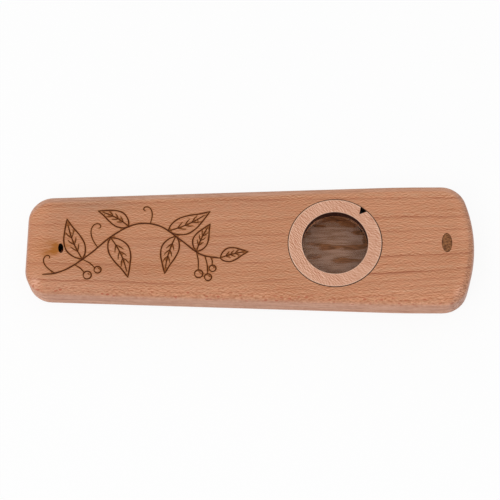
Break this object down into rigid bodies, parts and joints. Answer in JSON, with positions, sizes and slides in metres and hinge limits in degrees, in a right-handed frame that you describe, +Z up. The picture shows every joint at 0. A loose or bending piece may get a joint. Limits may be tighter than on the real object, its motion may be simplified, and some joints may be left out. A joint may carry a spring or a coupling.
{
  "type": "kazoo",
  "caption": "Flat wooden kazoo with a tapered air channel between two glued boards, and a buzzing film under a notched ring that turns and lifts out.",
  "frame": {"origin": "centre of the underside, which the kazoo lies on", "axes": "+X along the kazoo towards the wide end that is hummed into, +Z up out through the film"},
  "size_m": [0.1244, 0.035, 0.0113],
  "materials": {
    "board_wood": "sanded, satin oiled",
    "ring_wood": "sanded, bare",
    "glue": "dried wood glue",
    "film": "clear, glossy",
    "hoop": "smooth"
  },
  "bodies": {
    "body": {"lower_half": "board_wood", "glue_seam": "glue", "upper_half": "board_wood"},
    "film": {"membrane_film": "film"},
    "hoop": {"membrane_hoop": "hoop"},
    "ring": {"membrane_ring": "ring_wood"}
  },
  "joints": [
    {"name": "film_lift", "type": "slide", "parent": "body", "child": "film", "axis": [0, 0, 1], "range_m": [0, 0.01]},
    {"name": "ring_lift", "type": "slide", "parent": "film", "child": "hoop", "axis": [0, 0, 1], "range_m": [0, 0.01]},
    {"name": "ring_turn", "type": "hinge", "parent": "hoop", "child": "ring", "pos_m": [0.02375, 0, 0.0113], "axis": [0, 0, 1], "continuous": true}
  ]
}
